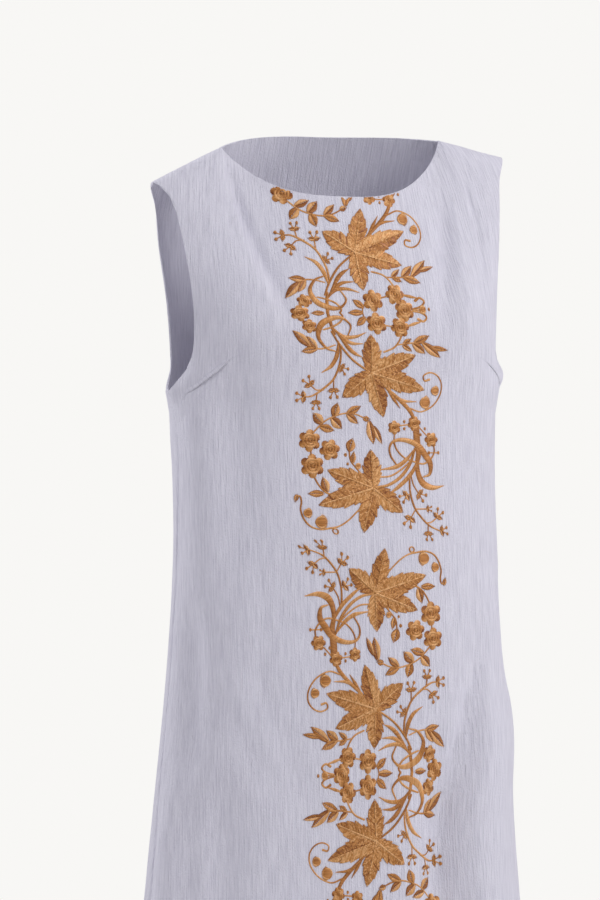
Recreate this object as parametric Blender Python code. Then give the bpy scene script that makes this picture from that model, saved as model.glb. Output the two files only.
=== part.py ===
"""Sleeveless A-line dress of crinkled cotton, as it hangs when worn: a front and a back panel of cloth.

Metres. +X is the viewer's right, -Y the front and +Z up. The origin is midway between the shoulder seams.
A place on a panel is (across, up): across runs from -1 at one side seam to 1 at the other, and up from
0 at the hem through 1 at the underarm to 2 at the neckline and shoulders.
"""
from math import pi

import bmesh
import bpy
import numpy as np

# Driving dimensions
CLOTH_THICKNESS = 0.0015
SEAM_GAP = 0.0003
HEM_HEIGHT = -0.905
WAIST_HEIGHT = -0.393
UNDERARM_HEIGHT = -0.2355
NECK_HEIGHT = 0.0125
NECK_HALF_WIDTH = 0.1185
TIP_HEIGHT = -0.0133
TIP_HALF_WIDTH = 0.1896
HALF_GIRTH_OF_PANEL = 0.235
NECK_ACROSS = 0.607

# The neckline: how far its middle drops below the neck points, and how far it stands from the shoulder seams
NECKLINE = {
    "front": {"drop": 0.0588, "depth": 0.054},
    "back": {"drop": -0.0135, "depth": 0.054},
}
NECK_DROP_POWERS = (2.8, 0.85)
NECK_DEPTH_POWERS = (2.2, 0.8)
FACING = {"front": -1, "back": 1}

# Level sections, from the hem up to the underarm. A power of 2 is an ellipse, and a higher one is squarer
SECTIONS = [
    # height, half_width, front_depth, front_power, back_depth, back_power
    (-0.905, 0.2145, 0.121, 2.3, 0.165, 2.1),
    (-0.756, 0.1995, 0.113, 2.3, 0.150, 2.1),
    (-0.639, 0.1893, 0.107, 2.3, 0.131, 2.0),
    (-0.520, 0.1777, 0.106, 2.3, 0.115, 2.0),
    (-0.403, 0.1710, 0.1020, 2.3, 0.108, 2.0),
    (-0.319, 0.1697, 0.0935, 2.3, 0.124, 2.2),
    (-0.270, 0.1708, 0.0891, 2.3, 0.128, 2.3),
    (-0.2355, 0.1720, 0.088, 2.3, 0.128, 2.3),
]
WIDTH_COLUMN = 1
SECTION_COLUMNS = {"front": (2, 3), "back": (4, 5)}

# The section beside the armhole, from the underarm (rise 0) up to the shoulder tip (rise 1). Its half width is the
# one that it would have without the hole, and the share is the part of its depth at which the hole's edge lies
ARMHOLE = [
    # rise, front_half_width, front_share, back_half_width, back_share
    (0.000, 0.1720, 0.000, 0.1720, 0.000),
    (0.030, 0.1717, 0.136, 0.1710, 0.100),
    (0.077, 0.1716, 0.250, 0.1701, 0.203),
    (0.137, 0.1722, 0.352, 0.1697, 0.290),
    (0.231, 0.1745, 0.424, 0.1703, 0.347),
    (0.416, 0.1795, 0.474, 0.1732, 0.383),
    (0.744, 0.1908, 0.507, 0.1860, 0.447),
    (0.880, 0.1948, 0.500, 0.1920, 0.470),
    (1.000, 0.2020, 0.420, 0.2020, 0.420),
]
ARMHOLE_COLUMNS = {"front": (1, 2), "back": (3, 4)}
EDGE_POWER = 3
UNDERARM_FLARE = {"width": 0.0076, "reach": 0.014, "power": 6, "gone_at_rise": 0.12}

# How the upper part goes over the shoulder: a round roll there, an almost straight slope at the neck. The columns
# keep to the section's own spacing until they are near the top
ROLL_POWER = 2.6
SLOPE_POWER = 1.8
ROLL_STARTS, ROLL_FULL = 0.30, 0.98
SPACING_POWER = 3
SHOULDER_START = 0.5

# The pose: one shoulder hangs lower, the neck leans to that side, and the cloth swells at two places on the other
SHOULDER_TILT = 0.0187
UNDERARM_TILT = 0.0075
TILT_POWER = 1.8
TILT_WIDTH = 0.186
NECK_LEAN = -0.006
SIDE_SWELLS = [
    # height, reach, swell
    (-0.228, 0.014, 0.005),
    (-0.580, 0.050, 0.006),
]
SWELL_STARTS = 0.5

# Folds: soft troughs (depth below 0) and ridges, each from an upper to a lower place. One that ends at the hem is open
FOLDS = {
    "front": [
        # top_across, top_height, low_across, low_height, half_width, depth
        (-0.54, -0.004, -0.27, -0.190, 0.009, -0.0060),
        (0.47, -0.020, 0.30, -0.200, 0.012, -0.0062),
        (0.69, -0.010, 0.67, -0.130, 0.008, -0.0025),
        (0.80, -0.030, 0.60, -0.360, 0.022, 0.0035),
        (-0.72, 0.000, -0.82, -0.070, 0.010, -0.0014),
        (-0.58, -0.160, -0.54, -0.470, 0.034, -0.0095),
        (-0.84, -0.430, -0.73, -0.640, 0.022, -0.0080),
        (0.76, -0.420, 0.79, -0.560, 0.014, -0.0080),
        (0.63, -0.420, 0.64, -0.560, 0.014, 0.0035),
        (0.58, -0.470, 0.28, -0.660, 0.014, -0.0040),
        (0.26, -0.540, 0.20, -0.905, 0.018, -0.0080),
        (0.58, -0.500, 0.35, -0.905, 0.026, 0.0130),
        (0.84, -0.600, 0.82, -0.905, 0.018, -0.0050),
        (-0.48, -0.490, -0.32, -0.600, 0.011, -0.0018),
        (-0.35, -0.560, -0.22, -0.670, 0.011, -0.0018),
        (-0.60, -0.580, -0.52, -0.905, 0.026, -0.0090),
        (-0.88, -0.600, -0.84, -0.905, 0.022, 0.0060),
    ],
    "back": [
        # top_across, top_height, low_across, low_height, half_width, depth
        (-0.30, -0.270, -0.42, -0.905, 0.030, -0.0075),
        (0.33, -0.300, 0.39, -0.905, 0.026, -0.0065),
        (0.03, -0.430, -0.03, -0.905, 0.030, -0.0055),
        (-0.72, -0.500, -0.76, -0.905, 0.022, -0.0045),
        (0.74, -0.450, 0.70, -0.905, 0.024, -0.0050),
        (-0.55, -0.480, -0.60, -0.905, 0.028, 0.0045),
        (0.54, -0.520, 0.56, -0.905, 0.028, 0.0045),
        (-0.62, -0.050, -0.36, -0.180, 0.014, -0.0022),
        (0.60, -0.060, 0.37, -0.170, 0.014, -0.0018),
        (-0.78, -0.300, -0.60, -0.420, 0.016, -0.0030),
        (0.80, -0.310, 0.62, -0.430, 0.016, -0.0030),
    ],
}
FOLD_FADE = 0.35
SIDE_GUARD = 0.90
SHOULDER_GUARD = 1.9

# A bust dart runs from each side seam to its point, where the front is fullest
DART = {"seam_height": -0.267, "point_across": 0.532, "point_height": -0.207, "half_width": 0.010, "depth": -0.0020}
DART_STARTS, DART_FADES = 0.1, 0.6
FULLNESS = {"across": 0.44, "height": -0.165, "reach": 0.066, "depth": 0.0130}

# Cells of the mesh: columns across the half neck and each shoulder, rows in the skirt and beside the armhole
CELLS = {
    "front": {"neck": 12, "shoulder": 8, "skirt": 32, "armhole": 13},
    "back": {"neck": 9, "shoulder": 7, "skirt": 26, "armhole": 12},
}
SLOPE_STEP = 0.002
SEAM_MARGIN = 1e-6
CLOTH_COLOUR = (0.80, 0.80, 0.86, 1.0)
CLOTH_ROUGHNESS = 0.85


def clear_scene():
    for old in list(bpy.data.objects):
        bpy.data.objects.remove(old, do_unlink=True)


def ease(start, end, value):
    """Rises smoothly from 0 at start to 1 at end."""
    t = np.clip((value - start) / (end - start), 0, 1)
    return t * t * (3 - 2 * t)


def read_table(table, column, place):
    """Value of a table's column along its first one: a cubic that never overshoots its rows."""
    xs = np.array([row[0] for row in table])
    ys = np.array([row[column] for row in table])
    gaps = np.diff(xs)
    rises = np.diff(ys) / gaps
    slopes = np.zeros_like(ys)
    slopes[0], slopes[-1] = rises[0], rises[-1]
    before, after = rises[:-1], rises[1:]
    same_way = before * after > 0
    slopes[1:-1][same_way] = (2 * before * after)[same_way] / (before + after)[same_way]
    place = np.clip(place, xs[0], xs[-1])
    i = np.clip(np.searchsorted(xs, place, side="right") - 1, 0, len(gaps) - 1)
    s = (place - xs[i]) / gaps[i]
    value = ys[i] * (1 + 2 * s) * (1 - s) ** 2 + ys[i + 1] * s * s * (3 - 2 * s)
    return value + gaps[i] * (slopes[i] * s * (1 - s) ** 2 + slopes[i + 1] * s * s * (s - 1))


def top_edge(side, across):
    """Distance from the middle, depth and height of the neckline and, past the neck points, of the shoulder seams."""
    reach = np.abs(across)
    on_neck = reach < NECK_ACROSS
    r = np.sin(np.clip(reach / NECK_ACROSS, 0, 1) * pi / 2)
    along = np.clip((reach - NECK_ACROSS) / (1 - NECK_ACROSS), 0, 1)
    along = along * SHOULDER_START + along ** 2 * (2 - along) * (1 - SHOULDER_START)
    drop = NECKLINE[side]["drop"] * (1 - r ** NECK_DROP_POWERS[0]) ** NECK_DROP_POWERS[1]
    depth = NECKLINE[side]["depth"] * (1 - r ** NECK_DEPTH_POWERS[0]) ** NECK_DEPTH_POWERS[1]
    shoulder_x = NECK_HALF_WIDTH + (TIP_HALF_WIDTH - NECK_HALF_WIDTH) * along
    shoulder_z = NECK_HEIGHT + (TIP_HEIGHT - NECK_HEIGHT) * along
    x = np.where(on_neck, NECK_HALF_WIDTH * r, shoulder_x)
    z = np.where(on_neck, NECK_HEIGHT - drop, shoulder_z)
    return x, np.where(on_neck, depth, 0), z


def lean_and_tilt(x, z):
    """Sideways lean, tilt and swells of the pose, the same for both panels so that the seams stay together."""
    low = UNDERARM_TILT * ease(WAIST_HEIGHT, UNDERARM_HEIGHT, z)
    high = (SHOULDER_TILT - UNDERARM_TILT) * ease(UNDERARM_HEIGHT, TIP_HEIGHT, z)
    tilt = (low + high) * np.sign(x) * np.abs(x / TILT_WIDTH) ** TILT_POWER
    shift = NECK_LEAN * ease(UNDERARM_HEIGHT, NECK_HEIGHT, z)
    outwards = ease(SWELL_STARTS, 1.0, x / TILT_WIDTH)
    for height, reach, swell in SIDE_SWELLS:
        shift = shift + swell * outwards * np.exp(-((z - height) / reach) ** 2)
    return x + shift, z + tilt


def edge_angle(side, rise):
    """Angle round the section at which the armhole's edge lies: a right angle at the underarm, less above it."""
    share = read_table(ARMHOLE, ARMHOLE_COLUMNS[side][1], rise)
    power = SECTIONS[-1][SECTION_COLUMNS[side][1]]
    return np.arcsin((1 - share ** power) ** (1 / power))


def smooth_panel(side, across, up):
    """Points of the panel without its folds."""
    depth_column, power_column = SECTION_COLUMNS[side]
    reach = np.abs(across)
    rise = np.clip(up - 1, 0, 1)
    low_z = HEM_HEIGHT + (UNDERARM_HEIGHT - HEM_HEIGHT) * np.clip(up, 0, 1)
    angle = reach * pi / 2 - reach ** EDGE_POWER * (pi / 2 - edge_angle(side, rise))
    low_width = read_table(SECTIONS, WIDTH_COLUMN, low_z)
    high_width = read_table(ARMHOLE, ARMHOLE_COLUMNS[side][0], rise)
    low_x = np.where(up < 1, low_width, high_width) * np.sin(angle)
    power = read_table(SECTIONS, power_column, low_z)
    low_depth = read_table(SECTIONS, depth_column, low_z) * np.clip(1 - np.sin(angle) ** power, 0, 1) ** (1 / power)
    top_x, top_depth, top_z = top_edge(side, across)
    edge_x = high_width * np.sin(edge_angle(side, rise))
    spacing = rise ** SPACING_POWER
    x = low_x * (1 - spacing) + top_x * edge_x / TIP_HALF_WIDTH * spacing
    flare = UNDERARM_FLARE["width"] * np.exp(-((low_z - UNDERARM_HEIGHT) / UNDERARM_FLARE["reach"]) ** 2)
    flare = flare * ease(UNDERARM_FLARE["gone_at_rise"], 0.0, rise) * reach ** UNDERARM_FLARE["power"]
    z = low_z * (1 - rise) + top_z * rise
    rolled = (1 - rise ** ROLL_POWER) ** (1 / ROLL_POWER)
    sloped = 1 - rise ** SLOPE_POWER
    part = ease(ROLL_STARTS, ROLL_FULL, reach)
    depth = top_depth + (low_depth - top_depth) * (rolled * part + sloped * (1 - part))
    x, z = lean_and_tilt(np.sign(across) * (x + flare), z)
    return np.stack([x, FACING[side] * (depth + SEAM_GAP / 2), z], axis=-1)


def outward(side, across, up):
    """Unit normals of the smooth panel. On a seam they have no part across it, so that both walls end alike."""
    right = smooth_panel(side, np.clip(across + SLOPE_STEP, -1, 1), up)
    left = smooth_panel(side, np.clip(across - SLOPE_STEP, -1, 1), up)
    above = smooth_panel(side, across, np.clip(up + SLOPE_STEP, 0, 2))
    below = smooth_panel(side, across, np.clip(up - SLOPE_STEP, 0, 2))
    normal = np.cross(right - left, above - below) * -FACING[side]
    on_side_seam = (np.abs(across) > 1 - SEAM_MARGIN) & (up < 1 + SEAM_MARGIN)
    on_shoulder_seam = (np.abs(across) > NECK_ACROSS - SEAM_MARGIN) & (up > 2 - SEAM_MARGIN)
    normal[..., 1][on_side_seam | on_shoulder_seam] = 0
    return normal / np.linalg.norm(normal, axis=-1, keepdims=True)


def fold_depth(fold, across, z):
    """How far one fold moves the cloth out at places on its panel."""
    top_across, top_z, low_across, low_z, half_width, depth = fold
    along = (top_z - z) / (top_z - low_z)
    middle = top_across + (low_across - top_across) * np.clip(along, 0, 1)
    profile = np.exp(-((across - middle) * HALF_GIRTH_OF_PANEL / half_width) ** 2)
    fade = ease(0, FOLD_FADE, along)
    if low_z > HEM_HEIGHT:
        fade = fade * ease(1, 1 - FOLD_FADE, along)
    return depth * profile * fade


def dart_depth(across, z):
    """The dip along both bust darts, and the fullness at their points."""
    reach = np.abs(across)
    run = (1 - DART["point_across"]) * HALF_GIRTH_OF_PANEL
    rise = DART["point_height"] - DART["seam_height"]
    length = np.hypot(run, rise)
    from_seam = (1 - reach) * HALF_GIRTH_OF_PANEL
    above_seam = z - DART["seam_height"]
    along = (from_seam * run + above_seam * rise) / length ** 2
    aside = (above_seam * run - from_seam * rise) / length
    fade = ease(1.0, DART_FADES, along) * ease(-DART_STARTS, DART_STARTS, along)
    dip = DART["depth"] * np.exp(-(aside / DART["half_width"]) ** 2) * fade
    away = np.hypot((reach - FULLNESS["across"]) * HALF_GIRTH_OF_PANEL, z - FULLNESS["height"])
    return dip + FULLNESS["depth"] * np.exp(-(away / FULLNESS["reach"]) ** 2)


def relief(side, across, up, z):
    """Folds and darts together. They die out towards the side and shoulder seams, where the panels meet."""
    depth = np.zeros_like(z)
    for fold in FOLDS[side]:
        depth = depth + fold_depth(fold, across, z)
    if side == "front":
        depth = depth + dart_depth(across, z)
    return depth * ease(1.0, SIDE_GUARD, np.abs(across)) * ease(2.0, SHOULDER_GUARD, up)


def panel_grid(side):
    """Places (across, up) of the panel's mesh: closer columns over the bust, closer rows where the edges curve."""
    cells = CELLS[side]
    neck = np.linspace(0, NECK_ACROSS, cells["neck"] + 1)
    shoulder = np.linspace(NECK_ACROSS, 1, cells["shoulder"] + 1)
    half = np.concatenate([neck, shoulder[1:]])
    columns = np.concatenate([-half[:0:-1], half])
    skirt = np.linspace(0, 1, cells["skirt"] + 1)
    beside_arm = 1 + (1 - np.cos(np.linspace(0, pi, cells["armhole"] + 1))) / 2
    rows = np.concatenate([skirt, beside_arm[1:]])
    return np.meshgrid(columns, rows)


def wall_mesh(name, outer, inner):
    """A closed wall between two grids of points, with a rim all round."""
    rows, columns = outer.shape[:2]
    bm = bmesh.new()
    faces = {}
    for face_name, points in (("outer", outer), ("inner", inner)):
        faces[face_name] = [[bm.verts.new(point) for point in row] for row in points]
    for grid in faces.values():
        for i in range(rows - 1):
            for j in range(columns - 1):
                bm.faces.new((grid[i][j], grid[i][j + 1], grid[i + 1][j + 1], grid[i + 1][j]))
    border = [(0, j) for j in range(columns)]
    border += [(i, columns - 1) for i in range(1, rows)]
    border += [(rows - 1, j) for j in range(columns - 2, -1, -1)]
    border += [(i, 0) for i in range(rows - 2, 0, -1)]
    out, back = faces["outer"], faces["inner"]
    for (i, j), (k, m) in zip(border, border[1:] + border[:1]):
        bm.faces.new((out[i][j], out[k][m], back[k][m], back[i][j]))
    bmesh.ops.recalc_face_normals(bm, faces=bm.faces)
    mesh = bpy.data.meshes.new(name)
    bm.to_mesh(mesh)
    bm.free()
    return mesh


def cloth_material(name):
    material = bpy.data.materials.new(name)
    material.use_nodes = True
    shader = material.node_tree.nodes["Principled BSDF"]
    shader.inputs["Base Color"].default_value = CLOTH_COLOUR
    shader.inputs["Roughness"].default_value = CLOTH_ROUGHNESS
    material.diffuse_color = CLOTH_COLOUR
    return material


def make_panel(side, collection):
    across, up = panel_grid(side)
    base = smooth_panel(side, across, up)
    normal = outward(side, across, up)
    outer = base + normal * relief(side, across, up, base[..., 2])[..., None]
    inner = outer - normal * CLOTH_THICKNESS
    mesh = wall_mesh(side, outer, inner)
    mesh.shade_smooth()
    mesh.set_sharp_from_angle(angle=pi / 4)
    mesh.materials.append(cloth_material(side + "_cloth"))
    panel = bpy.data.objects.new(side, mesh)
    collection.objects.link(panel)
    return panel


def make_dress():
    clear_scene()
    collection = bpy.data.collections.new("embroidered_dress")
    bpy.context.scene.collection.children.link(collection)
    for side in ("front", "back"):
        make_panel(side, collection)


make_dress()
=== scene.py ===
"""The dress as it looks: crinkled white cotton, with a copper-gold band of flowers stitched down its front.

Metres, in the frame of the solids. A place on a panel is (across, up), as in their source, whose shape
functions are repeated here. The band is laid out in millimetres, right of the centre front and down from its
first mirror line.
"""

from math import ceil, cos, hypot, pi, radians, sin

import bpy
import numpy as np
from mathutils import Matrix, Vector


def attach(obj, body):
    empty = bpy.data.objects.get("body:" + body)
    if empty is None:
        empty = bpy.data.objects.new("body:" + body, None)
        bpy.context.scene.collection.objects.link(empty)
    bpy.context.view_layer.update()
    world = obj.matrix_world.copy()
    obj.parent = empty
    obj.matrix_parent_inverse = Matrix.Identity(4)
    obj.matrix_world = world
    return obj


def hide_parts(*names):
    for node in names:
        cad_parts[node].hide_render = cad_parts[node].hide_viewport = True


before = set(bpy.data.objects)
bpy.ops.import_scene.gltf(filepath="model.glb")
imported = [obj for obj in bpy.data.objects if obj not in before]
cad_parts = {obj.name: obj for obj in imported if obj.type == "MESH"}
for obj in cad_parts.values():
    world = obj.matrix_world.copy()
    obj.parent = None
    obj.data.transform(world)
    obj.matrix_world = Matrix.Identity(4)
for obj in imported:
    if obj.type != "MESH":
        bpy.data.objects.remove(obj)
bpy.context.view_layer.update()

# Driving dimensions
CLOTH_THICKNESS = 0.0015
SEAM_GAP = 0.0003
HEM_HEIGHT = -0.905
WAIST_HEIGHT = -0.393
UNDERARM_HEIGHT = -0.2355
NECK_HEIGHT = 0.0125
NECK_HALF_WIDTH = 0.1185
TIP_HEIGHT = -0.0133
TIP_HALF_WIDTH = 0.1896
HALF_GIRTH_OF_PANEL = 0.235
NECK_ACROSS = 0.607

# The neckline: how far its middle drops below the neck points and stands from the shoulder seams
NECKLINE = {
    "front": {"drop": 0.0588, "depth": 0.054},
    "back": {"drop": -0.0135, "depth": 0.054},
}
NECK_DROP_POWERS = (2.8, 0.85)
NECK_DEPTH_POWERS = (2.2, 0.8)
FACING = {"front": -1, "back": 1}

# Level sections, from the hem up to the underarm. A power of 2 is an ellipse, a higher one is squarer
SECTIONS = [
    # height, half_width, front_depth, front_power, back_depth, back_power
    (-0.905, 0.2145, 0.121, 2.3, 0.165, 2.1),
    (-0.756, 0.1995, 0.113, 2.3, 0.150, 2.1),
    (-0.639, 0.1893, 0.107, 2.3, 0.131, 2.0),
    (-0.520, 0.1777, 0.106, 2.3, 0.115, 2.0),
    (-0.403, 0.1710, 0.1020, 2.3, 0.108, 2.0),
    (-0.319, 0.1697, 0.0935, 2.3, 0.124, 2.2),
    (-0.270, 0.1708, 0.0891, 2.3, 0.128, 2.3),
    (-0.2355, 0.1720, 0.088, 2.3, 0.128, 2.3),
]
WIDTH_COLUMN = 1
SECTION_COLUMNS = {"front": (2, 3), "back": (4, 5)}

# The section beside the armhole, from the underarm (rise 0) up to the shoulder tip (rise 1). Its half width
# is that of a section without the hole, and the share is the part of its depth at which the hole's edge lies
ARMHOLE = [
    # rise, front_half_width, front_share, back_half_width, back_share
    (0.000, 0.1720, 0.000, 0.1720, 0.000),
    (0.030, 0.1717, 0.136, 0.1710, 0.100),
    (0.077, 0.1716, 0.250, 0.1701, 0.203),
    (0.137, 0.1722, 0.352, 0.1697, 0.290),
    (0.231, 0.1745, 0.424, 0.1703, 0.347),
    (0.416, 0.1795, 0.474, 0.1732, 0.383),
    (0.744, 0.1908, 0.507, 0.1860, 0.447),
    (0.880, 0.1948, 0.500, 0.1920, 0.470),
    (1.000, 0.2020, 0.420, 0.2020, 0.420),
]
ARMHOLE_COLUMNS = {"front": (1, 2), "back": (3, 4)}
EDGE_POWER = 3
UNDERARM_FLARE = {"width": 0.0076, "reach": 0.014, "power": 6, "gone_at_rise": 0.12}

# How the upper part goes over the shoulder: a round roll there, an almost straight slope at the neck. The
# columns keep to the section's own spacing until they are near the top
ROLL_POWER = 2.6
SLOPE_POWER = 1.8
ROLL_STARTS, ROLL_FULL = 0.30, 0.98
SPACING_POWER = 3
SHOULDER_START = 0.5

# The pose: one shoulder hangs lower, the neck leans to that side, and the cloth swells twice on the other
SHOULDER_TILT = 0.0187
UNDERARM_TILT = 0.0075
TILT_POWER = 1.8
TILT_WIDTH = 0.186
NECK_LEAN = -0.006
SIDE_SWELLS = [
    # height, reach, swell
    (-0.228, 0.014, 0.005),
    (-0.580, 0.050, 0.006),
]
SWELL_STARTS = 0.5

# Folds: soft troughs (depth below 0) and ridges, from an upper to a lower place. At the hem they stay open
FOLDS = {
    # top_across, top_height, low_across, low_height, half_width, depth
    "front": [
        (-0.54, -0.004, -0.27, -0.190, 0.009, -0.0060),
        (0.47, -0.020, 0.30, -0.200, 0.012, -0.0062),
        (0.69, -0.010, 0.67, -0.130, 0.008, -0.0025),
        (0.80, -0.030, 0.60, -0.360, 0.022, 0.0035),
        (-0.72, 0.000, -0.82, -0.070, 0.010, -0.0014),
        (-0.58, -0.160, -0.54, -0.470, 0.034, -0.0095),
        (-0.84, -0.430, -0.73, -0.640, 0.022, -0.0080),
        (0.76, -0.420, 0.79, -0.560, 0.014, -0.0080),
        (0.63, -0.420, 0.64, -0.560, 0.014, 0.0035),
        (0.58, -0.470, 0.28, -0.660, 0.014, -0.0040),
        (0.26, -0.540, 0.20, -0.905, 0.018, -0.0080),
        (0.58, -0.500, 0.35, -0.905, 0.026, 0.0130),
        (0.84, -0.600, 0.82, -0.905, 0.018, -0.0050),
        (-0.48, -0.490, -0.32, -0.600, 0.011, -0.0018),
        (-0.35, -0.560, -0.22, -0.670, 0.011, -0.0018),
        (-0.60, -0.580, -0.52, -0.905, 0.026, -0.0090),
        (-0.88, -0.600, -0.84, -0.905, 0.022, 0.0060),
    ],
    "back": [
        (-0.30, -0.270, -0.42, -0.905, 0.030, -0.0075),
        (0.33, -0.300, 0.39, -0.905, 0.026, -0.0065),
        (0.03, -0.430, -0.03, -0.905, 0.030, -0.0055),
        (-0.72, -0.500, -0.76, -0.905, 0.022, -0.0045),
        (0.74, -0.450, 0.70, -0.905, 0.024, -0.0050),
        (-0.55, -0.480, -0.60, -0.905, 0.028, 0.0045),
        (0.54, -0.520, 0.56, -0.905, 0.028, 0.0045),
        (-0.62, -0.050, -0.36, -0.180, 0.014, -0.0022),
        (0.60, -0.060, 0.37, -0.170, 0.014, -0.0018),
        (-0.78, -0.300, -0.60, -0.420, 0.016, -0.0030),
        (0.80, -0.310, 0.62, -0.430, 0.016, -0.0030),
    ],
}
FOLD_FADE = 0.35
SIDE_GUARD = 0.90
SHOULDER_GUARD = 1.9

# A bust dart runs from each side seam to its point, where the front is fullest
DART = {
    "seam_height": -0.267, "point_across": 0.532, "point_height": -0.207,
    "half_width": 0.010, "depth": -0.0020,
}
DART_STARTS, DART_FADES = 0.1, 0.6
FULLNESS = {"across": 0.44, "height": -0.165, "reach": 0.066, "depth": 0.0130}
SLOPE_STEP = 0.002
SEAM_MARGIN = 1e-6


def unit(vectors):
    """Vectors of length 1 that point the same ways."""
    return vectors / np.linalg.norm(vectors, axis=-1, keepdims=True)


def ease(start, end, value):
    """Rises smoothly from 0 at start to 1 at end."""
    t = np.clip((value - start) / (end - start), 0, 1)
    return t * t * (3 - 2 * t)


def read_table(table, column, place):
    """Value of a table's column along its first one: a cubic that never overshoots its rows."""
    xs = np.array([row[0] for row in table])
    ys = np.array([row[column] for row in table])
    gaps = np.diff(xs)
    rises = np.diff(ys) / gaps
    slopes = np.zeros_like(ys)
    slopes[0], slopes[-1] = rises[0], rises[-1]
    before, after = rises[:-1], rises[1:]
    same_way = before * after > 0
    slopes[1:-1][same_way] = (2 * before * after)[same_way] / (before + after)[same_way]
    place = np.clip(place, xs[0], xs[-1])
    i = np.clip(np.searchsorted(xs, place, side="right") - 1, 0, len(gaps) - 1)
    s = (place - xs[i]) / gaps[i]
    value = ys[i] * (1 + 2 * s) * (1 - s) ** 2 + ys[i + 1] * s * s * (3 - 2 * s)
    return value + gaps[i] * (slopes[i] * s * (1 - s) ** 2 + slopes[i + 1] * s * s * (s - 1))


def top_edge(side, across):
    """Distance from the middle, depth and height of the neckline and, past it, of the shoulder seams."""
    reach = np.abs(across)
    on_neck = reach < NECK_ACROSS
    r = np.sin(np.clip(reach / NECK_ACROSS, 0, 1) * pi / 2)
    along = np.clip((reach - NECK_ACROSS) / (1 - NECK_ACROSS), 0, 1)
    along = along * SHOULDER_START + along ** 2 * (2 - along) * (1 - SHOULDER_START)
    drop = NECKLINE[side]["drop"] * (1 - r ** NECK_DROP_POWERS[0]) ** NECK_DROP_POWERS[1]
    depth = NECKLINE[side]["depth"] * (1 - r ** NECK_DEPTH_POWERS[0]) ** NECK_DEPTH_POWERS[1]
    shoulder_x = NECK_HALF_WIDTH + (TIP_HALF_WIDTH - NECK_HALF_WIDTH) * along
    shoulder_z = NECK_HEIGHT + (TIP_HEIGHT - NECK_HEIGHT) * along
    x = np.where(on_neck, NECK_HALF_WIDTH * r, shoulder_x)
    z = np.where(on_neck, NECK_HEIGHT - drop, shoulder_z)
    return x, np.where(on_neck, depth, 0), z


def lean_and_tilt(x, z):
    """Lean, tilt and swells of the pose, the same for both panels so that the seams stay together."""
    low = UNDERARM_TILT * ease(WAIST_HEIGHT, UNDERARM_HEIGHT, z)
    high = (SHOULDER_TILT - UNDERARM_TILT) * ease(UNDERARM_HEIGHT, TIP_HEIGHT, z)
    tilt = (low + high) * np.sign(x) * np.abs(x / TILT_WIDTH) ** TILT_POWER
    shift = NECK_LEAN * ease(UNDERARM_HEIGHT, NECK_HEIGHT, z)
    outwards = ease(SWELL_STARTS, 1.0, x / TILT_WIDTH)
    for height, reach, swell in SIDE_SWELLS:
        shift = shift + swell * outwards * np.exp(-((z - height) / reach) ** 2)
    return x + shift, z + tilt


def edge_angle(side, rise):
    """Angle round the section at which the armhole's edge lies: a right angle at the underarm, then less."""
    share = read_table(ARMHOLE, ARMHOLE_COLUMNS[side][1], rise)
    power = SECTIONS[-1][SECTION_COLUMNS[side][1]]
    return np.arcsin((1 - share ** power) ** (1 / power))


def smooth_panel(side, across, up):
    """Points of the panel without its folds."""
    depth_column, power_column = SECTION_COLUMNS[side]
    reach = np.abs(across)
    rise = np.clip(up - 1, 0, 1)
    low_z = HEM_HEIGHT + (UNDERARM_HEIGHT - HEM_HEIGHT) * np.clip(up, 0, 1)
    angle = reach * pi / 2 - reach ** EDGE_POWER * (pi / 2 - edge_angle(side, rise))
    low_width = read_table(SECTIONS, WIDTH_COLUMN, low_z)
    high_width = read_table(ARMHOLE, ARMHOLE_COLUMNS[side][0], rise)
    low_x = np.where(up < 1, low_width, high_width) * np.sin(angle)
    power = read_table(SECTIONS, power_column, low_z)
    fullness = np.clip(1 - np.sin(angle) ** power, 0, 1) ** (1 / power)
    low_depth = read_table(SECTIONS, depth_column, low_z) * fullness
    top_x, top_depth, top_z = top_edge(side, across)
    edge_x = high_width * np.sin(edge_angle(side, rise))
    spacing = rise ** SPACING_POWER
    x = low_x * (1 - spacing) + top_x * edge_x / TIP_HALF_WIDTH * spacing
    flare = UNDERARM_FLARE["width"] * np.exp(-((low_z - UNDERARM_HEIGHT) / UNDERARM_FLARE["reach"]) ** 2)
    flare = flare * ease(UNDERARM_FLARE["gone_at_rise"], 0.0, rise) * reach ** UNDERARM_FLARE["power"]
    z = low_z * (1 - rise) + top_z * rise
    rolled = (1 - rise ** ROLL_POWER) ** (1 / ROLL_POWER)
    sloped = 1 - rise ** SLOPE_POWER
    part = ease(ROLL_STARTS, ROLL_FULL, reach)
    depth = top_depth + (low_depth - top_depth) * (rolled * part + sloped * (1 - part))
    x, z = lean_and_tilt(np.sign(across) * (x + flare), z)
    return np.stack([x, FACING[side] * (depth + SEAM_GAP / 2), z], axis=-1)


def outward(side, across, up):
    """Unit normals of the smooth panel. None points across a seam, so that both walls end alike."""
    right = smooth_panel(side, np.clip(across + SLOPE_STEP, -1, 1), up)
    left = smooth_panel(side, np.clip(across - SLOPE_STEP, -1, 1), up)
    above = smooth_panel(side, across, np.clip(up + SLOPE_STEP, 0, 2))
    below = smooth_panel(side, across, np.clip(up - SLOPE_STEP, 0, 2))
    normal = np.cross(right - left, above - below) * -FACING[side]
    on_side_seam = (np.abs(across) > 1 - SEAM_MARGIN) & (up < 1 + SEAM_MARGIN)
    on_shoulder_seam = (np.abs(across) > NECK_ACROSS - SEAM_MARGIN) & (up > 2 - SEAM_MARGIN)
    normal[..., 1][on_side_seam | on_shoulder_seam] = 0
    return unit(normal)


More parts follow.
